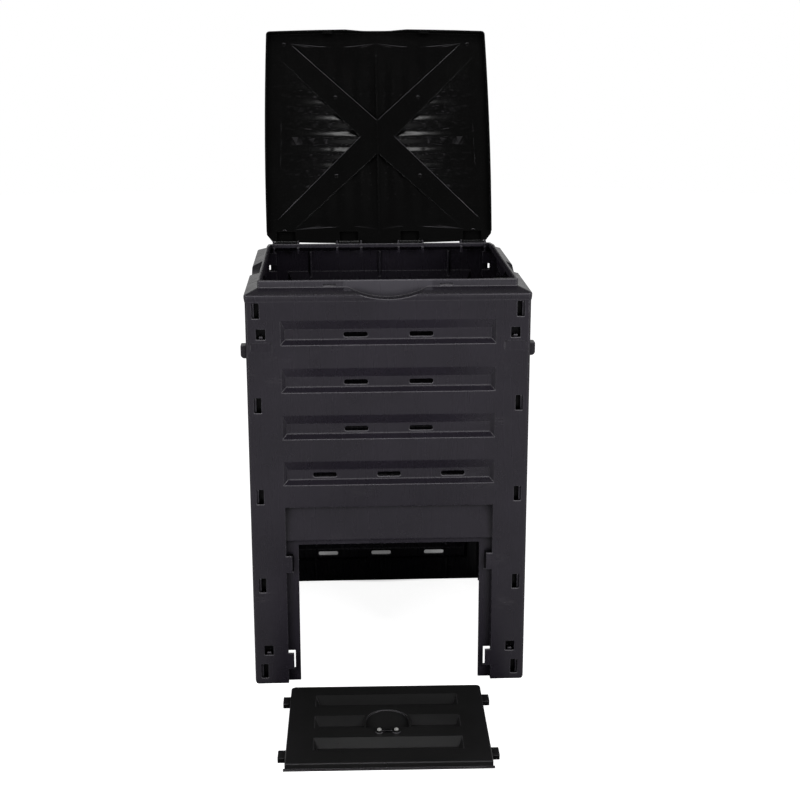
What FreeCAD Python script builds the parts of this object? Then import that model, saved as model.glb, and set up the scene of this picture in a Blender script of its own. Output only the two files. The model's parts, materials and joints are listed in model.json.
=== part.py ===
import FreeCAD, Part
import math
import os

# Compost bin: four plastic wall panels that clip together at the corners, a hinged lid,
# and a lift-out hatch that is lying on the ground in front of the bin.
# Lengths are in millimetres. X runs right, Y runs back from the front wall, Z runs up.
# While it is modelled, the bin stands with the middle of its footprint at X = Y = 0.

V = FreeCAD.Vector
X_AXIS = V(1, 0, 0)
Y_AXIS = V(0, 1, 0)
Z_AXIS = V(0, 0, 1)

# Walls
foot = 580.0                  # width and depth over the wall faces
wall = 3.5                    # thickness of every moulded wall
face_top = 850.5              # height of the upright wall faces
shoulder_in = 25.0            # how far the sloping shoulder runs inwards to the rim
shoulder_rise = 10.5          # how far the shoulder climbs over that run
rim_high = 15.0               # upright rim above the shoulder
rim_thick = 6.0
seam = 0.3                    # gap where two panels meet
lip_out = 2.0                 # rolled lip under the outer edge of the shoulder
lip_high = 14.0
lip_run = 9.0                 # height of the slope under the lip
dip_start = 180.0             # the rim falls from here to the rear wall
dip_deep = 7.6                # how much lower it is along the rear wall
corner_round = 7.0            # upright outer corners of the bin
foot_round = 7.5              # lower corners of the front and rear panels
rim_corner_round = 5.0
top_round = 3.0               # edge between a wall face and its shoulder
inner_round = 2.0             # the same edge on the inside
rim_round = 1.5
rib_thick = 3.5               # upright stiffening ribs inside each wall
rib_deep = 6.0
rib_pitch = 165.0
rib_low = 10.0                # clear height under the ribs

# Corner joints
flange_long = 28.0            # return flange of the front and rear panels
joggle_long = 9.7             # thick root that steps a side panel in behind the flange
pocket_deep = 16.0            # from a wall face to the plate that closes its corner slots
pocket_wide = 44.0            # from the side of the bin to the edge of that plate
slot_in = 21.2                # corner slots, from the side of the bin to their middle
slot_wide = 15.0
slot_high = 32.0
slot_low = 29.4               # height of the lowest slot
slot_pitch = 197.3
slot_count = 5
hook_wide = 4.0
hook_play = 1.5               # above and below a hook
hook_side = 0.5               # beside and below a hook or nose
hook_back = 3.0               # how far its end sits back from the wall face
window_start = 26.0           # notch in that plate at the top slot, from the side of the bin
window_high = 14.0
hole_in = 31.0                # square latch holes
hole_wide = 19.0
hole_high = 21.5
hole_heights = (77.7, 770.0)
hole_round = 1.5
nose_wide = 8.0               # latch nose seen through a square hole
nose_high = 5.0
ramp_wide = 44.0              # shallow ramp under the upper latch hole
ramp_high = 19.0
ramp_drop = 18.0              # from the middle of the hole to the top of the ramp
ramp_deep = 2.2

# Corner locks, pushed in from the sides of the bin
lock_height = 731.0
lock_head_high = 27.0
lock_head_long = 24.0
lock_head_out = 11.2
lock_head_round = 8.0
lock_shank_long = 10.0
lock_shank_high = 15.0
lock_shank_deep = 10.0
lock_gap = 0.3
lock_top_round = 1.5          # upper outer edge of the head

# Troughs with ventilation slots, pressed inwards in rows
trough_top_row = 772.5        # height of the middle of the top row
trough_pitch = 99.5
trough_half = 219.5
trough_high = 51.0
trough_deep = 9.0
trough_slope = 20.0           # height of the slope above the floor
trough_ledge = 9.0            # height of the ledge under the floor
trough_end = 9.0
trough_round = 3.0
rear_pitch = 98.4             # the rows of the rear wall stand a little closer
front_rows = 4
full_rows = 8
vent_long = 49.0
vent_high = 10.0
vent_round = 4.0
vent_pair = 67.0              # two vents stand this far either side of the middle
vent_trio = 133.5             # every fourth row has a middle vent and two at this distance

# Finger scoop in the middle of each shoulder, and catches in the front rim for the lid
scoop_wide = 116.0            # along the outer edge of the shoulder
scoop_deep = 10.0
catch_at = 119.0
catch_long = 25.0
catch_high = 3.5
catch_deep = 2.5
catch_height = 866.0

# Hatch bay in the front panel
bay_half = 218.0
bay_top = 399.5
bay_deep = 15.0
opening_half = 192.0
opening_top = 312.0
opening_round = 4.0
hood_low = 322.5              # lower edge of the hood over the opening
hood_lip = 4.0                # upright strip at that edge
hood_out = 7.0
hood_start = 2.5              # from the top of the bay to the start of the hood
hood_round = 1.0
keeper_wide = 12.5            # cheeks that hold the hatch tabs
keeper_spans = ((32.7, 69.7), (254.5, 291.5))
window_wide = 15.0            # moulding windows behind the keepers
window_up = 0.5
window_down = 4.0

# Lid hinges
hinge_back = 7.0              # from the outside of the rear rim to the hinge axis
hinge_height = 868.6
hinge_places = (-223.0, -73.0, 73.0, 223.0)
pin_radius = 3.0
pin_gap = 0.1
pin_head_radius = 4.6
pin_head_thick = 1.6
ear_at = 28.5                 # ears stand this far either side of the middle of a hinge
ear_thick = 3.5
ear_radius = 6.5
knuckle_half = 25.0
knuckle_radius = 6.0
lug_wide = 5.0                # small lugs that hang inside the rear rim, below the ears
lug_high = 14.0
lug_deep = 5.0

# Lid, modelled closed and then swung open
lid_open = 116.5              # opening angle in degrees
lid_half = 269.0
side_bow = 3.5                # each edge bows outwards by this much
front_bow = 5.0
rear_bow = 6.0
lid_rear = 264.5
lid_thick = 3.0
lid_gap = 1.0                 # under the plate, over the rim
lid_corner_round = 9.0
lid_edge_round = 2.0
lid_chamfer_in = 13.0         # rear corners are cut by this much across
lid_chamfer_long = 17.0       # and this much along
skirt_high = 15.0
skirt_thick = 3.0
notch_half = 30.0             # shallow finger notch in the front skirt
notch_high = 9.5
notch_run = 46.0
notch_round = 100.0
field_side = 243.0            # front and side edges of the corrugated fields
field_rear = 236.0
band_middle = 38.0            # half width of the crossing bands, measured along the edge
band_corner = 28.0
field_rise = 9.0              # the fields climb by this much towards the middle
wave_pitch = 40.6
wave_high = 4.0               # half the height of a full wave, at the middle of the lid
spine_thick = 3.0             # thin rib down the middle of the lid
spine_deep = 2.6
spine_front = 210.0
stud_radius = 4.0             # small round studs under the bands
stud_deep = 2.5
stud_at = 101.0
stud_corner = (226.0, 240.0)
dormer_front = 238.0          # raised boxes over the hinge knuckles
dormer_rear = 276.0
dormer_top = 888.0
dormer_wall = 2.5
dormer_round = 2.0
bump_out = 1.2                # snap bumps inside the front skirt
bump_high = 2.5

# Hatch, modelled lying face up with the middle of its plan at X = Y = 0
hatch_wide = 400.0
hatch_long = 324.0
hatch_thick = 15.0
hatch_skin = 3.5
hatch_corner = 10.0
hatch_low_corner = 1.5
hatch_edge_round = 1.6
foot_out = 3.0                # flared foot along the lower edge
foot_high = 3.0
hatch_lie_x = -13.3           # where its middle lies
hatch_lie_out = 215.5         # in front of the wall face
hatch_turn = -0.95
tab_out = 15.0
tab_long = 31.0
tab_thick = 10.0
tab_starts = (36.5, 262.5)    # from the top edge of the hatch
tab_round = 2.0
press_half = 147.0
press_starts = (40.0, 131.5, 223.0)
press_slope = 28.0
press_floor = 14.0
press_ledge = 9.0
press_deep = 9.5
press_end = 9.0
press_round = 2.5
pull_half = 43.0              # arched finger pocket
pull_start = 109.0
pull_end = 185.0
pull_deep = 11.0
pull_rim = 4.0                # flat strip between the pocket and the middle trough
pull_low_round = 2.0          # corners at the straight end of the pocket
pull_crown = 0.5              # flat left at the top of its arch, on each side of the middle
pull_step = 2.0               # drop at the arch, where the slope starts
pad_at = 17.0                 # two round pads below the pocket carry the pull link
pad_radius = 8.5
pad_high = 1.5
pad_start = 202.0
link_wide = 6.0
link_thick = 2.2
rivet_radius = 2.0
rivet_head = 4.6
rivet_gap = 0.1

# Working values of the modelling itself
spare = 1.0                   # how far a cutter or a buried root runs past the face it meets
touch = 0.01                  # smaller than any real size

# Sizes that follow from the ones above
half = foot / 2
rim_out = half - shoulder_in
rim_in = rim_out - rim_thick
rim_foot = face_top + shoulder_rise
rim_top = rim_foot + rim_high
slope = math.atan2(shoulder_rise, shoulder_in)
split = face_top - wall / math.cos(slope)    # the shoulders are mitred above this height
under_rim = split + (half - rim_in) * math.tan(slope)
tuck_out = half - wall - seam                # outer face of the layer behind a flange
tuck_in = tuck_out - wall
pocket_back = half - pocket_deep             # outer face of the plate that closes the slots
plate_half = half - flange_long - seam       # half width of the side panels' outer plate
hinge_y = rim_out + hinge_back
plate_low = rim_top + lid_gap
plate_top = plate_low + lid_thick
skirt_low = plate_low - skirt_high
lip = half + lip_out
lip_low = face_top - lip_high
rear_rim_top = rim_top - dip_deep
rows_all = [trough_top_row - trough_pitch * row for row in range(full_rows)]
slot_heights = [slot_low + slot_pitch * step for step in range(slot_count)]


def box(x0, x1, y0, y1, z0, z1):
    """Block between pairs of limits, each pair in either order."""
    x0, x1 = sorted((x0, x1))
    y0, y1 = sorted((y0, y1))
    z0, z1 = sorted((z0, z1))
    return Part.makeBox(x1 - x0, y1 - y0, z1 - z0, V(x0, y0, z0))


def rod(radius, start, end):
    """Round bar between two points."""
    line = end - start
    return Part.makeCylinder(radius, line.Length, start, line)


def merge(first, *others):
    """One solid from touching solids, without the seams between coplanar faces."""
    return first.multiFuse(list(others)).removeSplitter()


def carve(body, cutters):
    """Body with every cutter taken away."""
    return body.cut(list(cutters))


def outline(corners, place):
    """Closed wire through (a, b, radius) corners; place turns a flat point into a real one."""
    count = len(corners)
    stretches = []
    for index, (a, b, radius) in enumerate(corners):
        before = V(*corners[index - 1][:2], 0)
        here = V(a, b, 0)
        after = V(*corners[(index + 1) % count][:2], 0)
        if radius == 0:
            stretches.append((here, here, here))
            continue
        back = (before - here).normalize()
        ahead = (after - here).normalize()
        spread = back.getAngle(ahead) / 2
        reach = radius / math.tan(spread)
        inward = (back + ahead).normalize()
        middle = here + inward * (radius / math.sin(spread) - radius)
        stretches.append((here + back * reach, middle, here + ahead * reach))
    edges = []
    for index, (start, middle, end) in enumerate(stretches):
        if (end - start).Length > 1e-6:
            edges.append(Part.Arc(place(start), place(middle), place(end)).toShape())
        following = stretches[(index + 1) % count][0]
        if (following - end).Length > 1e-6:
            edges.append(Part.LineSegment(place(end), place(following)).toShape())
    return Part.Wire(edges)


def slab_x(corners, x0, x1):
    """Prism along X from (y, z, radius) corners."""
    wire = outline(corners, lambda p: V(x0, p.x, p.y))
    return Part.Face(wire).extrude(V(x1 - x0, 0, 0))


def slab_y(corners, y0, y1):
    """Prism along Y from (x, z, radius) corners."""
    wire = outline(corners, lambda p: V(p.x, y0, p.y))
    return Part.Face(wire).extrude(V(0, y1 - y0, 0))


def slab_z(corners, z0, z1):
    """Prism along Z from (x, y, radius) corners."""
    wire = outline(corners, lambda p: V(p.x, p.y, z0))
    return Part.Face(wire).extrude(V(0, 0, z1 - z0))


def rectangle(a0, a1, b0, b1, radius=0.0):
    """Corners of a rectangle, all with one radius."""
    return [(a0, b0, radius), (a1, b0, radius), (a1, b1, radius), (a0, b1, radius)]


def funnel(mouth, floor, mouth_depth, floor_depth, place):
    """Solid between two rectangles (a0, a1, b0, b1) at two depths."""
    wires = []
    for (a0, a1, b0, b1), depth in ((mouth, mouth_depth), (floor, floor_depth)):
        points = [place(a, b, depth) for a, b in ((a0, b0), (a1, b0), (a1, b1), (a0, b1))]
        wires.append(Part.makePolygon(points + points[:1]))
    return Part.makeLoft(wires, True, True)


def round_edges(body, radius, wanted):
    """Body with a radius on each edge whose bounds pass the test."""
    edges = [edge for edge in body.Edges if wanted(edge.BoundBox)]
    return body.makeFillet(radius, edges)


def turned(body, angle):
    """Body turned about the upright axis of the bin."""
    copy = body.copy()
    copy.rotate(V(0, 0, 0), Z_AXIS, angle)
    return copy


def at_wall(across, height, depth):
    """Point on the front wall: across, up, and inwards from the face."""
    return V(across, -half + depth, height)


def shell_blank():
    """Wall, shoulder and rim of one side of the bin, rounded at its corners."""
    under_face = split + wall * math.tan(slope)
    profile = [
        (-half, 0, 0), (-half, lip_low, 0),
        (-lip, lip_low + lip_run, lip_run / 2), (-lip, face_top, top_round),
        (-rim_out, rim_foot, 0), (-rim_out, rim_top, rim_round),
        (-rim_in, rim_top, rim_round), (-rim_in, under_rim, 0),
        (-half + wall, under_face, inner_round), (-half + wall, 0, 0),
    ]
    blank = slab_x(profile, -lip, lip).common(outer_column())
    above = box(-foot, foot, -foot, foot, rim_foot, rim_top + spare)
    rounded = slab_z(rectangle(-rim_out, rim_out, -rim_out, rim_out, rim_corner_round),
                     rim_foot - spare, rim_top + 2 * spare)
    return blank.cut(above.cut(rounded))


def outer_column():
    """Bounds of the bin with its rounded upright corners, wider from the lip upwards."""
    lower = slab_z(rectangle(-half, half, -half, half, corner_round), 0, lip_low)
    upper = slab_z(rectangle(-lip, lip, -lip, lip, corner_round + lip_out), lip_low, rim_top)
    return lower.fuse(upper)


def mitre():
    """Wedge of plan that belongs to the front panel, short of each mitre by half a seam."""
    back = seam / math.sqrt(2)
    return slab_z([(0, -back, 0), (-foot, -foot - back, 0), (foot, -foot - back, 0)],
                  -spare, rim_top + spare)


def trough_rects(middle):
    """Mouth and floor rectangles of one trough, as (x0, x1, z0, z1)."""
    low = middle - trough_high / 2
    high = middle + trough_high / 2
    mouth = (-trough_half, trough_half, low, high)
    floor = (-trough_half + trough_end, trough_half - trough_end,
             low + trough_ledge, high - trough_slope)
    return mouth, floor


def trough_backing(middle):
    """Inside of the pressed-in wall behind one trough."""
    mouth, floor = trough_rects(middle)
    return funnel(mouth, floor, wall, trough_deep + wall, at_wall)


def trough_pocket(middle):
    """Space taken out of the face for one trough, rounded around its floor."""
    mouth, floor = trough_rects(middle)
    pocket = funnel(mouth, floor, 0.0, trough_deep, at_wall)
    return round_edges(pocket, trough_round, lambda b: b.YMin > -half + trough_deep - touch)


def vent_cutters(middle, trio):
    """Ventilation slots through the floor of one trough."""
    floor = trough_rects(middle)[1]
    height = (floor[2] + floor[3]) / 2
    places = (-vent_trio, 0.0, vent_trio) if trio else (-vent_pair, vent_pair)
    cutters = []
    for place in places:
        corners = rectangle(place - vent_long / 2, place + vent_long / 2,
                            height - vent_high / 2, height + vent_high / 2, vent_round)
        cutters.append(slab_y(corners, -half, -half + trough_deep + wall + rib_deep))
    return cutters


def ribs():
    """Three upright stiffening ribs inside a wall."""
    return [box(place - rib_thick / 2, place + rib_thick / 2,
                -half + wall / 2, -half + wall + rib_deep, rib_low, split)
            for place in (-rib_pitch, 0.0, rib_pitch)]


def with_troughs(panel, rows):
    """Panel with its ribs, troughs and vents, every fourth row with three vents."""
    panel = panel.multiFuse(ribs() + [trough_backing(middle) for middle in rows])
    cutters = []
    for index, middle in enumerate(rows):
        cutters.append(trough_pocket(middle))
        cutters += vent_cutters(middle, index % 4 == 3)
    return carve(panel, cutters)


def with_scoop(panel):
    """Panel with the finger scoop, a level dip of its shoulder in the middle."""
    radius = (scoop_wide ** 2 / 4 + scoop_deep ** 2) / (2 * scoop_deep)
    start = V(0, -half - foot / 4, face_top + radius - scoop_deep)
    drum = Part.makeCylinder(radius, foot / 2, start, Y_AXIS)
    thick_drum = Part.makeCylinder(radius + wall, foot / 2, start, Y_AXIS)
    low = face_top - 3 * scoop_deep
    under = slab_x([(-half, low, 0), (-half, face_top, top_round), (-rim_out, rim_foot, 0),
                    (-rim_in, rim_foot, 0), (-rim_in, low, 0)], -scoop_wide, scoop_wide)
    outside = box(-scoop_wide, scoop_wide, -lip - spare, -rim_out, low, rim_foot + scoop_deep)
    return panel.fuse(thick_drum.common(under)).cut(drum.common(outside))


def slot_cutters():
    """Corner slots, square latch holes and ramps of the front or rear panel."""
    cutters = []
    places = [(slot_in, height, slot_wide, slot_high) for height in slot_heights]
    places += [(hole_in, height, hole_wide, hole_high) for height in hole_heights]
    ramp_top = hole_heights[-1] - ramp_drop
    ramp = [(-half - spare, ramp_top, 0), (-half + ramp_deep, ramp_top, 0),
            (-half, ramp_top - ramp_high, 0), (-half - spare, ramp_top - ramp_high, 0)]
    for side in (-1, 1):
        for inset, height, wide, high in places:
            across = side * (half - inset)
            cutters.append(slab_y(rectangle(across - wide / 2, across + wide / 2,
                                            height - high / 2, height + high / 2, hole_round),
                                  -half, -half + wall))
        across = side * (half - hole_in)
        cutters.append(slab_x(ramp, across - ramp_wide / 2, across + ramp_wide / 2))
    return cutters


def lock_notch(side):
    """Space in a flange for the shank of a corner lock."""
    middle = -half + flange_long
    reach = lock_shank_long / 2 + lock_gap
    rise = lock_shank_high / 2 + lock_gap
    return box(side * half, side * (half - lock_shank_deep), middle - reach, middle + reach,
               lock_height - rise, lock_height + rise)


def side_lock_notch(side):
    """The same space seen from the side panel, whose plate ends beside the flange."""
    middle = side * (half - flange_long)
    reach = lock_shank_long / 2 + lock_gap
    rise = lock_shank_high / 2 + lock_gap
    return box(middle - reach, middle + reach, -half, -half + lock_shank_deep,
               lock_height - rise, lock_height + rise)


def end_panel(rows):
    """Front or rear panel before its own features, standing at the front of the bin."""
    blank = shell_blank()
    outer = slab_y([(-half, 0, foot_round), (half, 0, foot_round), (half, lip_low, 0),
                    (lip, lip_low, 0), (lip, rim_top, 0), (-lip, rim_top, 0),
                    (-lip, lip_low, 0), (-half, lip_low, 0)], -lip, half)
    plate = box(-half, half, -half, -half + wall, 0, split)
    flanges = [turned(blank, side * 90).common(
        box(side * (half - wall), side * lip, -half, -half + flange_long, 0, split - seam))
               for side in (-1, 1)]
    plate = plate.multiFuse(flanges).common(outer_column())
    panel = blank.common(mitre()).fuse(plate).common(outer)
    panel = with_troughs(panel, rows)
    return carve(panel, slot_cutters() + [lock_notch(-1), lock_notch(1)])


def bay_backing():
    """Walls of the recessed bay that the hatch slides into."""
    return box(-bay_half - wall, bay_half + wall, -half + wall / 2, -half + bay_deep + wall,
               0, bay_top + wall)


def bay_pocket():
    """Space inside the hatch bay, with its opening and windows, around the hood and keepers."""
    back = -half + bay_deep
    pocket = box(-bay_half, bay_half, -half - spare, back, -spare, bay_top)
    hood = slab_x([(back + spare, bay_top - hood_start, 0), (back, bay_top - hood_start, 0),
                   (back - hood_out, hood_low + hood_lip, hood_round),
                   (back - hood_out, hood_low, hood_round),
                   (back + spare, hood_low, 0)], -bay_half - spare, bay_half + spare)
    keepers = []
    spaces = []
    for low, high in keeper_spans:
        for side in (-1, 1):
            keepers.append(box(side * (bay_half - keeper_wide), side * (bay_half + spare),
                               -half - 2 * spare, -half + wall, low, high))
            spaces.append(box(side * (bay_half - window_wide), side * bay_half,
                              back - spare, back + wall + spare,
                              low - window_down, high + window_up))
    spaces.append(slab_y([(-opening_half, -spare, 0), (-opening_half, opening_top, opening_round),
                          (opening_half, opening_top, opening_round), (opening_half, -spare, 0)],
                         back - spare, back + wall + spare))
    return carve(pocket, [hood] + keepers).multiFuse(spaces)


def front_panel():
    """Front wall with four troughs, the hatch bay and two catches in its rim."""
    panel = with_scoop(end_panel(rows_all[:front_rows]))
    panel = panel.fuse(bay_backing()).cut(bay_pocket())
    catches = []
    for side in (-1, 1):
        catches.append(box(side * catch_at - catch_long / 2, side * catch_at + catch_long / 2,
                           -rim_out, -rim_out + catch_deep,
                           catch_height - catch_high / 2, catch_height + catch_high / 2))
    return carve(panel, catches).removeSplitter()


def rim_dip():
    """Space over the rim where it falls towards the rear wall, below the lid hinges."""
    return slab_x([(dip_start, rim_top, 0), (rim_in, rear_rim_top, 0), (half, rear_rim_top, 0),
                   (half, rim_top + spare, 0), (dip_start, rim_top + spare, 0)], -half, half)


def hinge_ear(place):
    """One ear that carries a hinge pin, standing on the rear shoulder."""
    back = hinge_y + ear_radius
    top = hinge_height + ear_radius
    ground = rim_foot - (back - rim_out) * math.tan(slope)
    root = rim_out - spare
    ear = slab_x([(root, top, 0), (root, rim_foot - spare, 0), (back, ground - spare, 0),
                  (back, top, ear_radius - touch)], place - ear_thick / 2, place + ear_thick / 2)
    bore = rod(pin_radius + pin_gap, V(place - ear_thick, hinge_y, hinge_height),
               V(place + ear_thick, hinge_y, hinge_height))
    return ear.cut(bore)


def rear_panel():
    """Rear wall with eight troughs, the hinge ears and the lugs below them."""
    fittings = []
    for middle in hinge_places:
        for side in (-1, 1):
            place = middle + side * ear_at
            fittings.append(hinge_ear(place))
            fittings.append(box(place - lug_wide / 2, place + lug_wide / 2,
                                rim_in - lug_deep, rim_in + rim_thick / 2,
                                rim_foot - lug_high, rim_foot))
    rows = [trough_top_row - rear_pitch * row for row in range(full_rows)]
    return merge(turned(end_panel(rows), 180).cut(rim_dip()), *fittings)


def corner_pocket(side):
    """Layer behind one flange, the plate that closes the corner slots, hooks and noses."""
    high = split - seam
    root_end = plate_half - joggle_long
    pieces = [
        box(side * root_end, side * plate_half, -half, -tuck_in, 0, high),
        box(side * root_end, side * tuck_out, -tuck_out, -tuck_in, 0, high),
        box(side * (pocket_back - wall), side * pocket_back, -tuck_out, -half + pocket_wide,
            0, high),
    ]
    tip = side * (half - hook_back)
    edge = -half + slot_in - slot_wide / 2 + hook_side
    for height in slot_heights:
        pieces.append(box(side * (pocket_back - wall), tip, edge, edge + hook_wide,
                          height - slot_high / 2 + hook_play, height + slot_high / 2 - hook_play))
    for height in hole_heights:
        bottom = height - hole_high / 2 + hook_side
        pieces.append(box(side * (pocket_back - wall), tip, -half + hole_in - nose_wide / 2,
                          -half + hole_in + nose_wide / 2, bottom, bottom + nose_high))
    return pieces


def pocket_window(side):
    """Notch beside the top hook in the plate that closes the corner slots."""
    low = slot_heights[-1] - slot_high / 2
    return box(side * (pocket_back - wall - spare), side * (pocket_back + spare),
               -half + window_start, -half + pocket_wide + spare, low, low + window_high)


def side_panel():
    """Side wall, standing at the front of the bin before it is turned to its own side."""
    below = box(-foot, foot, -foot, 0, -spare, split)
    keep = box(-plate_half, plate_half, -foot, 0, -spare, split)
    panel = shell_blank().common(mitre()).cut(below.cut(keep))
    panel = panel.multiFuse(corner_pocket(-1) + corner_pocket(1))
    panel = with_scoop(with_troughs(panel, rows_all))
    cutters = [pocket_window(-1), pocket_window(1), side_lock_notch(-1), side_lock_notch(1)]
    return carve(panel, cutters).removeSplitter()


def corner_lock(side_x, side_y):
    """Peg pushed in from the side where a flange and a side panel meet."""
    face = half + seam
    out = face + lock_head_out
    middle = side_y * (half - flange_long)
    low = lock_height - lock_head_high / 2
    high = lock_height + lock_head_high / 2
    head = slab_y([(side_x * face, low, 0), (side_x * out, low, lock_head_round),
                   (side_x * out, high, lock_top_round), (side_x * face, high, 0)],
                  middle - lock_head_long / 2, middle + lock_head_long / 2)
    shank = box(side_x * face, side_x * (half - lock_shank_deep),
                middle - lock_shank_long / 2, middle + lock_shank_long / 2,
                lock_height - lock_shank_high / 2, lock_height + lock_shank_high / 2)
    return merge(head, shank)


def hinge_pin(middle):
    """Pin of one hinge, with its head against the outer face of the left ear."""
    reach = ear_at + ear_thick / 2
    left = V(middle - reach, hinge_y, hinge_height)
    shaft = rod(pin_radius, left, V(middle + reach + pin_head_thick, hinge_y, hinge_height))
    head = rod(pin_head_radius, left - V(pin_head_thick, 0, 0), left)
    return merge(head, shaft)


def lid_outline(inset, height):
    """Plan of the lid: bowed front and side edges, round front corners, cut rear corners."""
    side = lid_half - inset
    rear = lid_rear - inset
    waist = rear - lid_chamfer_long
    bow = side + side_bow
    middle = (waist - side) / 2
    radius = lid_corner_round - inset
    turn = radius * (1 - math.sqrt(0.5))
    curves = []
    stops = [(side, waist), (side, radius - side), (side - radius, -side),
             (radius - side, -side), (-side, radius - side), (-side, waist),
             (lid_chamfer_in - side, rear), (side - lid_chamfer_in, rear)]
    bends = [(bow, middle), (side - turn, turn - side), (0, -side - front_bow),
             (turn - side, turn - side), (-bow, middle), None, (0, rear + rear_bow), None]
    for index, bend in enumerate(bends):
        start = V(*stops[index], height)
        end = V(*stops[(index + 1) % len(stops)], height)
        curve = Part.Arc(start, V(*bend, height), end) if bend else Part.LineSegment(start, end)
        curves.append(curve.toShape())
    return Part.Face(Part.Wire(curves))


def lid_blank():
    """Plate of the lid with its skirt on the front and the two sides."""
    block = lid_outline(0, skirt_low).extrude(V(0, 0, plate_top - skirt_low))
    block = round_edges(block, lid_edge_round, lambda b: b.ZMin > plate_top - touch)
    hollow = lid_outline(skirt_thick, skirt_low).extrude(V(0, 0, skirt_high))
    skirt_end = lid_rear - lid_chamfer_long - skirt_thick
    rear = box(-foot, foot, skirt_end, foot, skirt_low, plate_low)
    notch = slab_y([(-notch_half - notch_run, skirt_low, 0),
                    (-notch_half, skirt_low + notch_high, notch_round),
                    (notch_half, skirt_low + notch_high, notch_round),
                    (notch_half + notch_run, skirt_low, 0)], -foot, -half / 2)
    return carve(block, [hollow, rear, notch])


def wave_sheet(border):
    """Ruled sheet from the straight border of a field to the wavy line through the middle."""
    steps = 4
    waves = math.ceil(-border / wave_pitch)
    reach = waves * wave_pitch
    count = 2 * waves * steps
    points = []
    for index in range(count + 1):
        across = -reach + 2 * reach * index / count
        lift = -wave_high * math.cos(2 * math.pi * across / wave_pitch)
        points.append(V(across, 0, plate_low + field_rise + lift))
    wave = Part.BSplineCurve()
    wave.interpolate(points)
    straight = Part.LineSegment(V(-reach, border, plate_low), V(reach, border, plate_low))
    return Part.makeRuledSurface(straight.toShape(), wave.toShape())


def field_corners(border, inset=0.0):
    """Plan corners of one field at the front, drawn in from the crossing bands by inset."""
    corner = -border - band_corner
    run = -border - band_middle
    shift = inset * math.hypot(corner, run)
    return [(0, -band_middle - shift / corner, 0), (-corner + shift / run, border, 0),
            (corner - shift / run, border, 0)]


def field_body(border, with_fin):
    """One corrugated field at the front, with walls down to the bands and maybe a middle fin."""
    sheet = wave_sheet(border)
    climb = field_rise + wave_high
    high = plate_top + climb + spare
    plan = slab_z(field_corners(border), plate_low, high)
    inner = slab_z(field_corners(border, lid_thick), plate_low, high)
    if with_fin:
        inner = inner.cut(box(-spine_thick / 2, spine_thick / 2, border, 0, plate_low, high))
    skin = sheet.extrude(V(0, 0, lid_thick)).common(plan)
    walls = sheet.extrude(V(0, 0, -climb)).common(plan.cut(inner))
    return skin.fuse(walls)


def dormer_shell(middle):
    """Raised box over one hinge, with the cheeks that reach down to its knuckle."""
    shell = box(middle - knuckle_half, middle + knuckle_half, dormer_front, dormer_rear,
                plate_low, dormer_top)
    shell = round_edges(shell, dormer_round, lambda b: b.ZMin > dormer_top - touch)
    cheeks = box(middle - knuckle_half, middle + knuckle_half, rim_out + lid_gap, dormer_rear,
                 hinge_height, plate_low)
    return shell.fuse(cheeks)


def dormer_space(middle):
    """Room inside the raised box of one hinge."""
    inner = knuckle_half - dormer_wall
    return box(middle - inner, middle + inner, dormer_front + dormer_wall,
               dormer_rear - dormer_wall, skirt_low, dormer_top - dormer_wall)


def studs():
    """Small round studs under the bands and at the corners of the lid."""
    places = [(x * stud_at, y * stud_at) for x in (-1, 1) for y in (-1, 1)]
    places += [(x * stud_corner[0], y * stud_corner[1]) for x in (-1, 1) for y in (-1, 1)]
    return [rod(stud_radius, V(x, y, plate_low - stud_deep), V(x, y, plate_low + spare))
            for x, y in places]


def snap_bumps():
    """Two bumps inside the front skirt that snap into the catches of the rim."""
    reach = catch_long / 2 - lid_gap
    inner = -lid_half + skirt_thick + bump_out
    return [box(side * catch_at - reach, side * catch_at + reach, -lid_half - spare, inner,
                catch_height - bump_high / 2, catch_height + bump_high / 2) for side in (-1, 1)]


def lid_closed():
    """The whole lid in its closed position."""
    fields = []
    windows = []
    for border, turn in ((-field_side, 0), (-field_side, 90), (-field_side, -90),
                         (-field_rear, 180)):
        fields.append(turned(field_body(border, turn % 180 == 0), turn))
        windows.append(turned(slab_z(field_corners(border), skirt_low, plate_top + spare), turn))
    spine = box(-spine_thick / 2, spine_thick / 2, -spine_front, lid_rear - lid_chamfer_long,
                plate_low - spine_deep, plate_low)
    shells = [dormer_shell(middle) for middle in hinge_places]
    body = carve(lid_blank(), windows)
    body = body.multiFuse(fields + [spine] + studs() + snap_bumps() + shells)
    body = carve(body, [dormer_space(middle) for middle in hinge_places])
    knuckles = [rod(knuckle_radius, V(middle - knuckle_half, hinge_y, hinge_height),
                    V(middle + knuckle_half, hinge_y, hinge_height)) for middle in hinge_places]
    bore = rod(pin_radius + pin_gap, V(-half, hinge_y, hinge_height), V(half, hinge_y, hinge_height))
    return body.multiFuse(knuckles).cut(bore).removeSplitter()


def lid():
    """The lid swung back on its hinges."""
    body = lid_closed()
    body.rotate(V(0, hinge_y, hinge_height), X_AXIS, -lid_open)
    return body


def at_hatch(across, along, depth):
    """Point on the hatch: across, down from its top edge, and below its face."""
    return V(across, hatch_long / 2 - along, hatch_thick - depth)


def press_rects(start):
    """Mouth and floor of one trough in the hatch, as (x0, x1, along0, along1)."""
    end = start + press_slope + press_floor + press_ledge
    mouth = (-press_half, press_half, start, end)
    floor = (-press_half + press_end, press_half - press_end,
             start + press_slope, end - press_ledge)
    return mouth, floor


def pull_plan(grown):
    """Arched plan of the finger pocket through the full thickness of the hatch."""
    reach = pull_half + grown
    top = hatch_long / 2 - pull_start + grown
    low = hatch_long / 2 - pull_end - grown
    arch = reach - pull_crown
    return slab_z([(-reach, low, pull_low_round), (-reach, top, arch), (reach, top, arch),
                   (reach, low, pull_low_round)], 0, hatch_thick)


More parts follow.
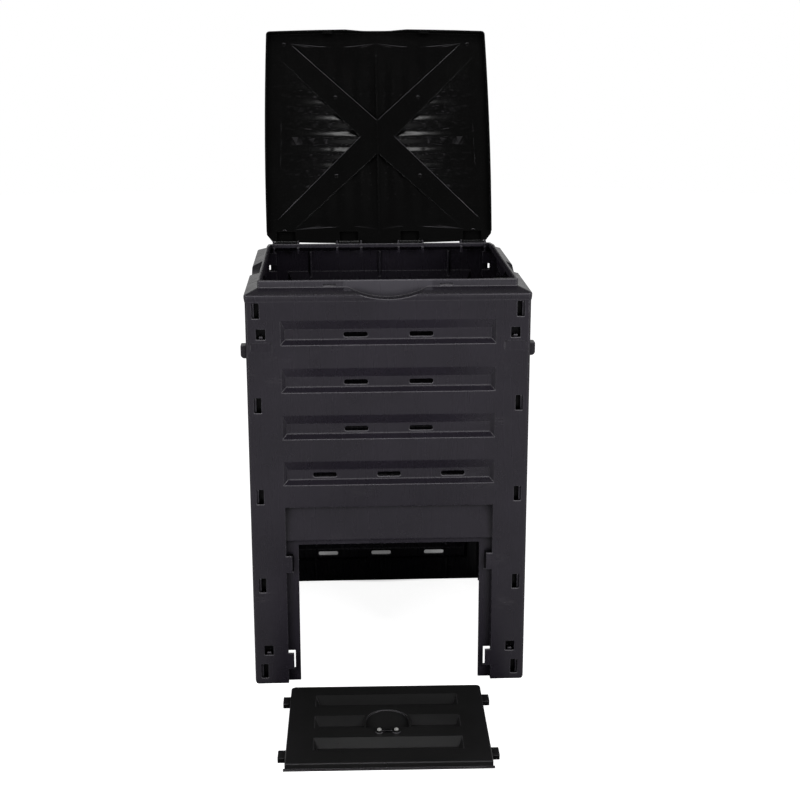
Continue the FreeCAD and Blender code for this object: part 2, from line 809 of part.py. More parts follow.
def pull_slope(extra):
    """Wedge whose floor falls from the face at the arch to its full depth at the pads."""
    start = hatch_long / 2 - pull_start
    end = hatch_long / 2 - pull_end
    deep = hatch_thick - pull_deep - extra
    top = hatch_thick + spare
    return slab_x([(start + hatch_skin, top, 0),
                   (start + hatch_skin, hatch_thick - pull_step - extra, 0), (end, deep, 0),
                   (end - hatch_skin, deep, 0), (end - hatch_skin, top, 0)],
                  -hatch_wide / 2, hatch_wide / 2)


def hatch_flat():
    """The hatch as a tray lying face up, middle at the origin of its plan."""
    side = hatch_wide / 2
    far = hatch_long / 2
    plan = [(-side, -far, hatch_low_corner), (side, -far, hatch_low_corner),
            (side, far, hatch_corner), (-side, far, hatch_corner)]
    tray = slab_z(plan, 0, hatch_thick)
    tray = round_edges(tray, hatch_edge_round, lambda b: b.ZMin > hatch_thick - touch)
    inner = [(x * (1 - hatch_skin / side), y * (1 - hatch_skin / far), r) for x, y, r in plan]
    tray = tray.cut(slab_z(inner, 0, hatch_thick - hatch_skin))
    strip = box(-side - foot_out, side + foot_out, -far - foot_out, -far + foot_out, 0, foot_high)
    pieces = [strip]
    for start in tab_starts:
        for edge in (-1, 1):
            tab = slab_z([(edge * (side - hatch_skin), far - start, 0),
                          (edge * (side + tab_out), far - start, tab_round),
                          (edge * (side + tab_out), far - start - tab_long, tab_round),
                          (edge * (side - hatch_skin), far - start - tab_long, 0)], 0, tab_thick)
            pieces.append(tab)
    keep_pull = pull_plan(pull_rim)
    pockets = []
    for start in press_starts:
        mouth, floor = press_rects(start)
        pieces.append(funnel(mouth, floor, hatch_skin, press_deep + hatch_skin, at_hatch))
        pocket = funnel(mouth, floor, 0.0, press_deep, at_hatch)
        pocket = round_edges(pocket, press_round,
                             lambda b: b.ZMax < hatch_thick - press_deep + touch)
        pockets.append(pocket.cut(keep_pull))
    pieces.append(pull_plan(hatch_skin).common(pull_slope(hatch_skin)))
    pads = [rod(pad_radius, at_hatch(side_x * pad_at, pad_start, spare),
                at_hatch(side_x * pad_at, pad_start, -pad_high)) for side_x in (-1, 1)]
    tray = tray.multiFuse(pieces)
    tray = carve(tray, pockets + [pull_plan(0).common(pull_slope(0))])
    tray = tray.multiFuse(pads)
    bores = [rod(rivet_radius + rivet_gap, at_hatch(side_x * pad_at, pad_start, 2 * hatch_skin),
                 at_hatch(side_x * pad_at, pad_start, -hatch_thick)) for side_x in (-1, 1)]
    return carve(tray, bores).removeSplitter()


def pull_link():
    """Flat link that lies on the two pads under the finger pocket."""
    low = hatch_thick + pad_high
    y = hatch_long / 2 - pad_start
    reach = link_wide / 2
    bar = box(-pad_at, pad_at, y - reach, y + reach, low, low + link_thick)
    ends = [rod(reach, V(x, y, low), V(x, y, low + link_thick)) for x in (-pad_at, pad_at)]
    bores = [rod(rivet_radius + rivet_gap, V(x, y, 0), V(x, y, 2 * hatch_thick))
             for x in (-pad_at, pad_at)]
    return carve(merge(bar, *ends), bores)


def pull_rivets():
    """Two round-headed pins that hold the link on its pads."""
    under = hatch_thick + pad_high + link_thick
    y = hatch_long / 2 - pad_start
    pins = []
    for x in (-pad_at, pad_at):
        shaft = rod(rivet_radius, V(x, y, hatch_thick - hatch_skin), V(x, y, under + spare))
        ball = Part.makeSphere(rivet_head, V(x, y, under))
        dome = ball.common(box(x - foot, x + foot, y - foot, y + foot, under, under + rivet_head))
        pins.append(merge(dome, shaft))
    return Part.makeCompound(pins)


def laid(body):
    """A piece of the hatch moved to where the hatch lies in front of the bin."""
    copy = turned(body, hatch_turn)
    copy.translate(V(hatch_lie_x, -half - hatch_lie_out, 0))
    return copy


def every_piece():
    """All pieces of the compost bin by name, in the frame they are modelled in."""
    side = side_panel()
    pieces = {
        "front_panel": front_panel(),
        "rear_panel": rear_panel(),
        "left_panel": turned(side, -90).cut(rim_dip()),
        "right_panel": turned(side, 90).cut(rim_dip()),
        "lid": lid(),
        "hatch": laid(hatch_flat()),
        "hatch_pull_link": laid(pull_link()),
        "hatch_pull_rivets": laid(pull_rivets()),
    }
    for depth, side_y in (("front", -1), ("rear", 1)):
        for hand, side_x in (("left", -1), ("right", 1)):
            pieces["corner_lock_" + depth + "_" + hand] = corner_lock(side_x, side_y)
    for number, middle in enumerate(hinge_places, 1):
        pieces["hinge_pin_" + str(number)] = hinge_pin(middle)
    return pieces


def main():
    """Write each piece, with the origin on the ground under the middle of the whole object."""
    os.makedirs("parts", exist_ok=True)
    pieces = every_piece()
    lowest = min(piece.optimalBoundingBox(False).YMin for piece in pieces.values())
    highest = max(piece.optimalBoundingBox(False).YMax for piece in pieces.values())
    shift = V(0, -(lowest + highest) / 2, 0)
    print("origin moved by", shift.y)
    for name, piece in pieces.items():
        piece.translate(shift)
        piece.exportStep("parts/" + name + ".step")
        print(name, len(piece.Solids), piece.isValid(), round(piece.Volume), piece.BoundBox)


main()
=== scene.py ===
"""Looks of a compost bin: moulded plastic finishes, softened edges, a pale studio and the camera.

Every length is in metres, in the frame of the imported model. X runs right, Y runs back, Z runs up.
"""

import json
import logging
import math
from dataclasses import dataclass, field
from enum import Enum
from typing import Union

import bmesh
import bpy
from mathutils import Matrix, Vector

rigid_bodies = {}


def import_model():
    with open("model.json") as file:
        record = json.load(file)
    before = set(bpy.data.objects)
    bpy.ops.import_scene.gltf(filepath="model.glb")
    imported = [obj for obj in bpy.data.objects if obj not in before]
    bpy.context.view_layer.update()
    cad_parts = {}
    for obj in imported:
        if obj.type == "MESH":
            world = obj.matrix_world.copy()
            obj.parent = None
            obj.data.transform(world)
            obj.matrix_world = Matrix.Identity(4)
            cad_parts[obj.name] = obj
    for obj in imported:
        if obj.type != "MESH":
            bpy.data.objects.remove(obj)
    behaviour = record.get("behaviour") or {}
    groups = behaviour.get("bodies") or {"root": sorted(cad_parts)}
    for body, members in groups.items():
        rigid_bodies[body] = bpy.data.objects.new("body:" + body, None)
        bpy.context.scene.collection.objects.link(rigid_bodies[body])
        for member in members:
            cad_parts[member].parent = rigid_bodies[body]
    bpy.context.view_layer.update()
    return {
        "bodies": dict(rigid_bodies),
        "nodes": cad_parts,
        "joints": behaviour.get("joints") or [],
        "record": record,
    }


log = logging.getLogger("compost_bin")

DISPLAY_WHITE = 255
DISPLAY_KNEE = 0.04045
DISPLAY_SLOPE = 12.92
DISPLAY_OFFSET = 0.055
DISPLAY_POWER = 2.4
PURE_WHITE = (1.0, 1.0, 1.0, 1.0)

Socket = bpy.types.NodeSocket
Source = Union[Socket, float, tuple[float, ...]]
Triple = tuple[float, float, float]
Limits = tuple[float, float]


class Ray(Enum):
    """Outputs of the Light Path node that the studio tells apart."""

    CAMERA = "Is Camera Ray"
    GLOSSY = "Is Glossy Ray"
    TRANSMISSION = "Is Transmission Ray"


class MixKind(Enum):
    """Data type of a Mix node, with the numbers of its two inputs and of its output."""

    NUMBER = ("FLOAT", 2, 3, 0)
    COLOUR = ("RGBA", 6, 7, 2)


def linear(level: float) -> float:
    """Return a display level from 0 to 255 as linear light from 0 to 1."""
    share = level / DISPLAY_WHITE
    if share <= DISPLAY_KNEE:
        return share / DISPLAY_SLOPE
    return ((share + DISPLAY_OFFSET) / (1 + DISPLAY_OFFSET)) ** DISPLAY_POWER


@dataclass(frozen=True)
class Shade:
    """A colour as it looks on the display, each part from 0 to 255."""

    red: float
    green: float
    blue: float

    def rgba(self) -> tuple[float, float, float, float]:
        """Return the colour in linear light with full opacity."""
        return (linear(self.red), linear(self.green), linear(self.blue), 1.0)


class Wiring:
    """Adds nodes to a node tree and joins their sockets."""

    def __init__(self, tree: bpy.types.NodeTree) -> None:
        """Keep the tree that the nodes go into."""
        self.tree = tree

    def node(self, kind: str, **settings: object) -> bpy.types.Node:
        """Add one node.

        Args:
            kind: The node's type, such as ShaderNodeMath.
            settings: Properties of the node by name.

        Returns:
            The new node.
        """
        made = self.tree.nodes.new(kind)
        for name, value in settings.items():
            setattr(made, name, value)
        return made

    def feed(self, socket: Socket, source: Source) -> None:
        """Give a socket its source.

        Args:
            socket: The input that is fed.
            source: Another socket, which is linked, or a plain value, which is set.
        """
        if isinstance(source, Socket):
            self.tree.links.new(source, socket)
        else:
            socket.default_value = source

    def maths(self, operation: str, first: Source, second: Source = 0.0, clamp: bool = False) -> Socket:
        """Work out one sum.

        Args:
            operation: The Math node's operation.
            first: A socket or a number.
            second: A socket or a number.
            clamp: Whether the answer is kept from 0 to 1.

        Returns:
            The socket that holds the answer.
        """
        made = self.node("ShaderNodeMath", operation=operation, use_clamp=clamp)
        self.feed(made.inputs[0], first)
        self.feed(made.inputs[1], second)
        return made.outputs[0]

    def product(self, first: Source, second: Source, clamp: bool = False) -> Socket:
        """Multiply two numbers or sockets."""
        return self.maths("MULTIPLY", first, second, clamp)

    def span(self, value: Socket, low: Source, high: Source,
             start: Source = 0.0, end: Source = 1.0) -> Socket:
        """Map a value smoothly from low..high to start..end.

        Args:
            value: The socket that is mapped.
            low: Value that gives start, a number or a socket.
            high: Value that gives end, a number or a socket.
            start: Answer at low and below, a number or a socket.
            end: Answer at high and above, a number or a socket.

        Returns:
            The socket that holds the answer.
        """
        made = self.node("ShaderNodeMapRange", interpolation_type="SMOOTHSTEP")
        for index, source in enumerate((value, low, high, start, end)):
            self.feed(made.inputs[index], source)
        return made.outputs[0]

    def axes(self, way: Socket) -> bpy.types.NodeOutputs:
        """Split a place or a direction.

        Args:
            way: The socket with the place or direction.

        Returns:
            Its parts, named X, Y and Z.
        """
        made = self.node("ShaderNodeSeparateXYZ")
        self.feed(made.inputs[0], way)
        return made.outputs

    def noise(self, place: Socket, scale: Source, detail: float,
              stretch: Triple = (1.0, 1.0, 1.0)) -> Socket:
        """Make a noise pattern over the surface.

        Args:
            place: The socket with the place on the surface.
            scale: Blotches per metre.
            detail: How many finer layers it holds.
            stretch: Factors of the place along X, Y and Z.

        Returns:
            The socket with the pattern, about 0.5 on average.
        """
        mapped = self.node("ShaderNodeMapping")
        mapped.inputs["Scale"].default_value = stretch
        self.feed(mapped.inputs["Vector"], place)
        made = self.node("ShaderNodeTexNoise")
        self.feed(made.inputs["Vector"], mapped.outputs[0])
        self.feed(made.inputs["Scale"], scale)
        self.feed(made.inputs["Detail"], detail)
        return made.outputs["Fac"]

    def mix(self, kind: MixKind, share: Source, first: Source, second: Source) -> Socket:
        """Mix two colours or two numbers.

        Args:
            kind: What is mixed.
            share: How much of the second one shows, from 0 to 1.
            first: A socket, a colour or a number.
            second: A socket, a colour or a number.

        Returns:
            The socket with the mixture.
        """
        data_type, first_input, second_input, output = kind.value
        made = self.node("ShaderNodeMix", data_type=data_type)
        self.feed(made.inputs[0], share)
        self.feed(made.inputs[first_input], first)
        self.feed(made.inputs[second_input], second)
        return made.outputs[output]

    def scaled(self, colour: Source, factor: Socket) -> Socket:
        """Make a colour lighter or darker.

        Args:
            colour: A socket, or the three parts of a colour.
            factor: The socket with the factor.

        Returns:
            The socket with the new colour.
        """
        made = self.node("ShaderNodeVectorMath", operation="SCALE")
        self.feed(made.inputs[0], colour)
        self.feed(made.inputs["Scale"], factor)
        return made.outputs[0]


class EffectGroup:
    """A shader effect that several finishes share, built once as a node group."""

    def __init__(self, name: str, inputs: dict[str, float], outputs: dict[str, str]) -> None:
        """Make the empty group.

        Args:
            name: The group's name.
            inputs: Default of each named input value.
            outputs: Kind of each named output, Float or Vector.
        """
        self.tree = bpy.data.node_groups.new(name, "ShaderNodeTree")
        for label, default in inputs.items():
            socket = self.tree.interface.new_socket(
                name=label, in_out="INPUT", socket_type="NodeSocketFloat")
            socket.default_value = default
        for label, kind in outputs.items():
            self.tree.interface.new_socket(
                name=label, in_out="OUTPUT", socket_type="NodeSocket" + kind)
        self.wiring = Wiring(self.tree)
        self.inputs = self.wiring.node("NodeGroupInput").outputs
        self.outputs = self.wiring.node("NodeGroupOutput").inputs

    def scale(self, label: str) -> Socket:
        """Return blotches per metre for the input that holds the size of one blotch."""
        return self.wiring.maths("DIVIDE", 1.0, self.inputs[label])

    def place(self, wiring: Wiring, **values: float) -> bpy.types.NodeOutputs:
        """Put the group into a material.

        Args:
            wiring: The material's wiring.
            values: Input values by name, with underscores for spaces.

        Returns:
            The outputs of the group's node in that material.
        """
        made = wiring.node("ShaderNodeGroup", node_tree=self.tree)
        for label, value in values.items():
            made.inputs[label.replace("_", " ").capitalize()].default_value = value
        return made.outputs


def object_place(wiring: Wiring) -> Socket:
    """Return the place on the object, which stays with the object when it moves."""
    return wiring.node("ShaderNodeTexCoord").outputs["Object"]


@dataclass
class MouldingEffects:
    """Node groups for the marks that moulding, handling and weather leave on the plastic, and for painted
    highlights, a painted sheen and painted shade.

    Limits are the values at which a mask starts and at which it is full.
    Scales are in blotches per metre, and stretches are factors along X, Y and Z.
    """

    fine_share: float = 0.35
    streaks_per_patch: float = 6.0
    streak_stretch: Triple = (1.0, 1.0, 0.08)
    bevel_samples: int = 6
    bend: Limits = (0.02, 0.2)
    # Noise that makes the paler edges patchy; they are partly scuffs and partly a painted highlight.
    patchy_edges: Limits = (0.25, 0.6)
    patchy_edges_scale: float = 160.0
    # Limits of the painted highlight on edges whose rounding turns up.
    turned_up: Limits = (0.015, 0.25)
    not_under: Limits = (-0.35, -0.15)
    lying: Limits = (0.35, 0.95)
    specks: Limits = (0.5, 0.72)
    speck_scale: float = 420.0
    film_share: float = 0.5
    film_scale: float = 14.0
    smudges: Limits = (0.56, 0.78)
    smudge_stretch: Triple = (0.45, 1.0, 1.0)
    broken: Limits = (0.35, 0.7)
    broken_scale: float = 300.0
    broken_stretch: Triple = (0.2, 1.0, 1.0)
    rim_streaks: Limits = (0.2, 0.6)
    rim_stretch: Triple = (0.03, 0.03, 1.0)
    rim_least: float = 0.5
    # Place of the painted sheen on the wall behind the finger scoop.
    scoop_half: float = 0.09
    scoop_low: float = 0.838
    scoop_wall: float = -0.191
    scoop_wall_reach: float = 0.012
    # Settings of the painted shade in slots and inside the bin.
    recess_samples: int = 4
    far_open: Limits = (0.12, 0.5)
    near_open: Limits = (0.3, 0.68)

    def __post_init__(self) -> None:
        """Build the groups."""
        self.grain = self.build_grain()
        self.flow = self.build_flow()
        self.edge_wear_and_highlight = self.build_edge_wear_and_highlight()
        self.dust = self.build_dust()
        self.rim = self.build_rim()
        self.painted_recess_shade = self.build_painted_recess_shade()

    def build_grain(self) -> EffectGroup:
        """Build the fine texture of the mould.

        Returns:
            A group that puts out a height.
        """
        group = EffectGroup("Mould grain", {"Grain size": 0.001, "Wave size": 0.08}, {"Height": "Float"})
        wiring = group.wiring
        place = object_place(wiring)
        fine = wiring.noise(place, group.scale("Grain size"), detail=3.0)
        broad = wiring.noise(place, group.scale("Wave size"), detail=1.0)
        height = wiring.maths("ADD", wiring.product(fine, self.fine_share), broad)
        wiring.feed(group.outputs["Height"], height)
        return group

    def build_flow(self) -> EffectGroup:
        """Build faint streaks and patches where the plastic flowed into the mould.

        Returns:
            A group that puts out both patterns.
        """
        group = EffectGroup("Flow marks", {"Patch size": 0.12},
                            {"Patches": "Float", "Streaks": "Float"})
        wiring = group.wiring
        place = object_place(wiring)
        scale = group.scale("Patch size")
        wiring.feed(group.outputs["Patches"], wiring.noise(place, scale, detail=3.0))
        fine_scale = wiring.product(scale, self.streaks_per_patch)
        streaks = wiring.noise(place, fine_scale, detail=4.0, stretch=self.streak_stretch)
        wiring.feed(group.outputs["Streaks"], streaks)
        return group

    def build_edge_wear_and_highlight(self) -> EffectGroup:
        """Build softly rounded edges that are paler in patches, partly scuffs and partly a painted highlight,
        with a further painted highlight where they turn up.

        Returns:
            A group that puts out the rounded normal, the mask of paler edges and the mask of the painted
            highlight.
        """
        group = EffectGroup("Soft edges with painted highlight", {"Radius": 0.001, "Amount": 1.0},
                            {"Normal": "Vector", "Mask": "Float", "Painted highlight": "Float"})
        wiring = group.wiring
        bevel = wiring.node("ShaderNodeBevel", samples=self.bevel_samples)
        wiring.feed(bevel.inputs["Radius"], group.inputs["Radius"])
        rounded = bevel.outputs[0]
        wiring.feed(group.outputs["Normal"], rounded)
        flat = wiring.node("ShaderNodeNewGeometry").outputs["True Normal"]
        compare = wiring.node("ShaderNodeVectorMath", operation="DOT_PRODUCT")
        wiring.feed(compare.inputs[0], rounded)
        wiring.feed(compare.inputs[1], flat)
        # Paler edges in patches: partly scuffs and partly a painted highlight along the edges.
        bend = wiring.span(wiring.maths("SUBTRACT", 1.0, compare.outputs["Value"]), *self.bend)
        patchy_edges = wiring.span(wiring.noise(object_place(wiring), self.patchy_edges_scale, detail=3.0), *self.patchy_edges)
        mask = wiring.product(wiring.product(bend, patchy_edges), group.inputs["Amount"], clamp=True)
        wiring.feed(group.outputs["Mask"], mask)
        # Painted highlight: lighter where the rounded normal turns further up than the face, on faces that
        # are not turned down.
        flat_up = wiring.axes(flat)["Z"]
        gain = wiring.maths("SUBTRACT", wiring.axes(rounded)["Z"], flat_up)
        turned_up = wiring.span(gain, *self.turned_up)
        not_under = wiring.span(flat_up, *self.not_under)
        wiring.feed(group.outputs["Painted highlight"], wiring.product(turned_up, not_under))
        return group

    def build_dust(self) -> EffectGroup:
        """Build settled dust on upward faces and rubbed smudges anywhere.

        Returns:
            A group that puts out both masks.
        """
        group = EffectGroup("Dust and smudges", {"Smudge size": 0.05},
                            {"Dust": "Float", "Smudges": "Float"})
        wiring = group.wiring
        place = object_place(wiring)
        upward = wiring.axes(wiring.node("ShaderNodeNewGeometry").outputs["Normal"])["Z"]
        lying = wiring.span(upward, *self.lying)
        specks = wiring.span(wiring.noise(place, self.speck_scale, detail=3.0), *self.specks)
        film = wiring.noise(place, self.film_scale, detail=3.0)
        settled = wiring.product(wiring.maths("ADD", specks, self.film_share), film)
        wiring.feed(group.outputs["Dust"], wiring.product(lying, settled))
        wiped = wiring.noise(place, group.scale("Smudge size"), detail=5.0, stretch=self.smudge_stretch)
        fibres = wiring.noise(place, self.broken_scale, detail=2.0, stretch=self.broken_stretch)
        smudges = wiring.product(wiring.span(wiped, *self.smudges), wiring.span(fibres, *self.broken))
        wiring.feed(group.outputs["Smudges"], smudges)
        return group

    def build_rim(self) -> EffectGroup:
        """Build the pale streaks that the lid rubs into the rim, and a painted sheen on the wall behind the
        finger scoop.

        Returns:
            A group that puts out both masks.
        """
        group = EffectGroup("Rubbed rim and painted scoop sheen", {"Rim foot": 0.86, "Streak size": 0.004},
                            {"Mask": "Float", "Scoop": "Float"})
        wiring = group.wiring
        place = object_place(wiring)
        parts = wiring.axes(place)
        above = wiring.maths("GREATER_THAN", parts["Z"], group.inputs["Rim foot"])
        streaks = wiring.noise(place, group.scale("Streak size"), detail=3.0, stretch=self.rim_stretch)
        pale_wear_and_sheen = wiring.span(streaks, *self.rim_streaks, self.rim_least, 1.0)
        wiring.feed(group.outputs["Mask"], wiring.product(above, pale_wear_and_sheen))
        # Painted sheen: a paler patch on the wall behind the finger scoop, placed by position.
        middle = wiring.maths("LESS_THAN", wiring.maths("ABSOLUTE", parts["X"]), self.scoop_half)
        high = wiring.maths("GREATER_THAN", parts["Z"], self.scoop_low)
        off_wall = wiring.maths("ABSOLUTE", wiring.maths("SUBTRACT", parts["Y"], self.scoop_wall))
        at_wall = wiring.maths("LESS_THAN", off_wall, self.scoop_wall_reach)
        wiring.feed(group.outputs["Scoop"], wiring.product(wiring.product(middle, high), at_wall))
        return group

    def build_painted_recess_shade(self) -> EffectGroup:
        """Build the painted shade in slots and inside the bin, darker where ambient occlusion finds the place
        closed in.

        Returns:
            A group that puts out how open a place is, from 0 deep inside to 1 on a free face.
        """
        group = EffectGroup("Painted shade in recesses", {"Reach": 0.6, "Near reach": 0.03}, {"Open": "Float"})
        wiring = group.wiring
        far = wiring.node("ShaderNodeAmbientOcclusion", samples=self.recess_samples)
        wiring.feed(far.inputs["Distance"], group.inputs["Reach"])
        near = wiring.node("ShaderNodeAmbientOcclusion", samples=self.recess_samples)
        wiring.feed(near.inputs["Distance"], group.inputs["Near reach"])
        free = wiring.product(wiring.span(far.outputs["AO"], *self.far_open),
                              wiring.span(near.outputs["AO"], *self.near_open))
        wiring.feed(group.outputs["Open"], free)
        return group


@dataclass(frozen=True)
class MouldedPlastic:
    """Finish of one kind of moulded plastic. Sizes are in metres, and shares run from 0 to 1."""

    name: str
    body: Shade
    # Paler colour of edges and rim: partly scuffs, partly a painted highlight on edges and a painted sheen
    # behind the finger scoop.
    pale_wear_and_sheen: Shade
    dusty: Shade
    roughness: float
    specular: float
    grain_size: float
    grain_depth: float
    patch_size: float = 0.12
    patch_tone: float = 0.1
    pattern: Limits = (0.3, 0.7)
    edge_radius: float = 0.0012
    # Share of the paler edges, partly scuffs and partly painted highlight.
    edge_wear_and_highlight: float = 0.5
    dust: float = 0.1
    smudge: float = 0.12
    rim: float = 0.0
    # Share of the painted sheen on the wall behind the finger scoop.
    scoop: float = 0.5
    # Colour of the painted highlight on edges that turn up.
    painted_light: Shade = field(default_factory=lambda: Shade(108, 106, 110))
    recess_reach: float = 0.6
    # How dark the painted shade gets in slots and inside the bin.
    painted_shade_tone: float = 0.14
    streak_roughness: float = 0.03
    dust_roughness: float = 0.5
    smudge_roughness: float = 0.3

    def build(self, effects: MouldingEffects) -> bpy.types.Material:
        """Make the material.

        Args:
            effects: The shared node groups.

        Returns:
            The new material.
        """
        material = bpy.data.materials.new(self.name)
        material.use_nodes = True
        wiring = Wiring(material.node_tree)
        shader = material.node_tree.nodes["Principled BSDF"]
        flow = effects.flow.place(wiring, patch_size=self.patch_size)
        edge_wear_and_highlight = effects.edge_wear_and_highlight.place(wiring, radius=self.edge_radius, amount=self.edge_wear_and_highlight)
        marks = effects.dust.place(wiring)
        dusty = wiring.product(marks["Dust"], self.dust, clamp=True)
        smudged = wiring.product(marks["Smudges"], self.smudge, clamp=True)
        # How open each place is, for the painted shade in slots and inside the bin.
        free = effects.painted_recess_shade.place(wiring, reach=self.recess_reach)["Open"]

        tone = wiring.span(flow["Patches"], *self.pattern, 1 - self.patch_tone, 1 + self.patch_tone)
        plain = wiring.scaled(self.body.rgba()[:3], tone)
        # Paler places: edges and rim scuffed by use, partly painted highlight along edges, and painted sheen
        # behind the finger scoop.
        worn_and_painted_sheen = self.worn_and_painted_sheen(wiring, effects, edge_wear_and_highlight["Mask"])
        colour = wiring.mix(MixKind.COLOUR, worn_and_painted_sheen, plain, self.pale_wear_and_sheen.rgba())
        # Painted highlight on edges that turn up.
        colour = wiring.mix(MixKind.COLOUR, edge_wear_and_highlight["Painted highlight"], colour, self.painted_light.rgba())
        dirty = wiring.maths("ADD", dusty, smudged, clamp=True)
        colour = wiring.mix(MixKind.COLOUR, dirty, colour, self.dusty.rgba())
        # Painted shade: the colour darkens where the place is closed in.
        shadow = wiring.span(free, 0.0, 1.0, self.painted_shade_tone, 1.0)
        wiring.feed(shader.inputs["Base Color"], wiring.scaled(colour, shadow))

        smooth, dull = self.roughness - self.streak_roughness, self.roughness + self.streak_roughness
        rough = wiring.span(flow["Streaks"], *self.pattern, smooth, dull)
        rough = wiring.maths("ADD", rough, wiring.product(dusty, self.dust_roughness))
        rough = wiring.maths("ADD", rough, wiring.product(smudged, self.smudge_roughness), clamp=True)
        wiring.feed(shader.inputs["Roughness"], rough)
        # Painted shade in reflections too: less shine where the place is closed in.
        shine = wiring.span(free, 0.0, 1.0, self.specular * self.painted_shade_tone, self.specular)
        wiring.feed(shader.inputs["Specular IOR Level"], shine)

        bump = wiring.node("ShaderNodeBump")
        bump.inputs["Strength"].default_value = 1.0
        bump.inputs["Distance"].default_value = self.grain_depth
        grain = effects.grain.place(wiring, grain_size=self.grain_size)
        wiring.feed(bump.inputs["Height"], grain["Height"])
        wiring.feed(bump.inputs["Normal"], edge_wear_and_highlight["Normal"])
        wiring.feed(shader.inputs["Normal"], bump.outputs[0])
        return material

    def worn_and_painted_sheen(self, wiring: Wiring, effects: MouldingEffects, edges: Socket) -> Socket:
        """Add the pale rim and the painted sheen on the wall behind the finger scoop, where the finish has
        any.

        Args:
            wiring: The material's wiring.
            effects: The shared node groups.
            edges: The mask of the paler edges, partly scuffs and partly painted highlight.

        Returns:
            The mask of all paler places, the painted sheen included.
        """
        if self.rim <= 0:
            return edges
        rim = effects.rim.place(wiring)
        top = wiring.maths("MAXIMUM", wiring.product(rim["Mask"], self.rim),
                           wiring.product(rim["Scoop"], self.scoop))
        return wiring.maths("MAXIMUM", edges, top)


@dataclass(frozen=True)
class SubAssembly:
    """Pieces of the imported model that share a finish."""

    nodes: tuple[str, ...]
    finish: MouldedPlastic

    def dress(self, frame: dict, effects: MouldingEffects) -> None:
        """Give each piece its finish.

        Args:
            effects: The shared node groups.
        """
        material = self.finish.build(effects)
        for name in self.nodes:
            piece = frame["nodes"][name]
            piece.material_slots[0].material = material
            log.info("%s: %s", name, material.name)


# The paler edge colour of each finish is partly scuffs and partly a painted highlight along edges; the
# painted light colour is a painted highlight on edges that turn up; the painted shade tone darkens slots and
# the inside of the bin.
CHARCOAL = MouldedPlastic(
    name="Charcoal wall plastic", body=Shade(32, 29, 36), pale_wear_and_sheen=Shade(78, 76, 82),
    dusty=Shade(92, 90, 92), roughness=0.27, specular=0.5, grain_size=0.0009, grain_depth=0.00003,
    edge_radius=0.0032, edge_wear_and_highlight=0.8, dust=0.03, rim=0.3)
BLACK_LID = MouldedPlastic(
    name="Black lid plastic", body=Shade(8, 8, 8), pale_wear_and_sheen=Shade(34, 34, 34),
    dusty=Shade(70, 70, 70), roughness=0.22, specular=0.5, grain_size=0.0009, grain_depth=0.00002,
    edge_radius=0.002, edge_wear_and_highlight=0.8, dust=0.02, smudge=0.02)
BLACK_HATCH = MouldedPlastic(
    name="Black hatch plastic", body=Shade(28, 28, 28), pale_wear_and_sheen=Shade(46, 45, 46),
    dusty=Shade(78, 76, 78), roughness=0.3, specular=0.5, grain_size=0.0009, grain_depth=0.00003,
    edge_radius=0.002, edge_wear_and_highlight=0.7, dust=0.04, smudge=0.05)
PIN_BLACK = MouldedPlastic(
    name="Glossy pin plastic", body=Shade(14, 14, 15), pale_wear_and_sheen=Shade(40, 40, 42),
    dusty=Shade(70, 70, 72), roughness=0.2, specular=0.5, grain_size=0.0006, grain_depth=0.00001,
    dust=0.0, smudge=0.0, edge_wear_and_highlight=0.2)
# Pale grey rivet heads: partly their own colour and partly a painted highlight on the heads.
RIVET_GREY_AND_HIGHLIGHT = MouldedPlastic(
    name="Grey rivet plastic with painted highlight", body=Shade(150, 150, 148), pale_wear_and_sheen=Shade(170, 170, 168),
    dusty=Shade(120, 120, 118), roughness=0.2, specular=0.5, grain_size=0.0006, grain_depth=0.00001,
    dust=0.0, smudge=0.0, edge_wear_and_highlight=0.2)

WALLS = SubAssembly(("front_panel", "rear_panel", "left_panel", "right_panel"), CHARCOAL)
LOCKS = SubAssembly(("corner_lock_front_left", "corner_lock_front_right",
                     "corner_lock_rear_left", "corner_lock_rear_right"), CHARCOAL)
LID = SubAssembly(("lid",), BLACK_LID)
HATCH = SubAssembly(("hatch",), BLACK_HATCH)
PINS = SubAssembly(("hinge_pin_1", "hinge_pin_2", "hinge_pin_3", "hinge_pin_4"), PIN_BLACK)
LINK = SubAssembly(("hatch_pull_link",), PIN_BLACK)
RIVETS = SubAssembly(("hatch_pull_rivets",), RIVET_GREY_AND_HIGHLIGHT)


@dataclass(frozen=True)
class SoftBox:
    """A lamp behind a large diffuser."""

    name: str
    place: Triple
    aim: Triple
    width: float
    height: float
    watts: float
    in_reflections: bool = True

    def hang(self) -> None:
        """Add the lamp, turned towards its aim."""
        data = bpy.data.lights.new(self.name, "AREA")
        data.shape = "RECTANGLE"
        data.size = self.width
        data.size_y = self.height
        data.energy = self.watts
        lamp = bpy.data.objects.new(self.name, data)
        bpy.context.scene.collection.objects.link(lamp)
        towards = Vector(self.aim) - Vector(self.place)
        turn = towards.to_track_quat("-Z", "Y").to_matrix().to_4x4()
        lamp.matrix_world = Matrix.Translation(self.place) @ turn
        lamp.visible_glossy = self.in_reflections
        lamp.visible_camera = False


@dataclass(frozen=True)
class Band:
    """Brightness or height of a band of the surroundings, in front of the object and behind it."""

    front: float
    back: float


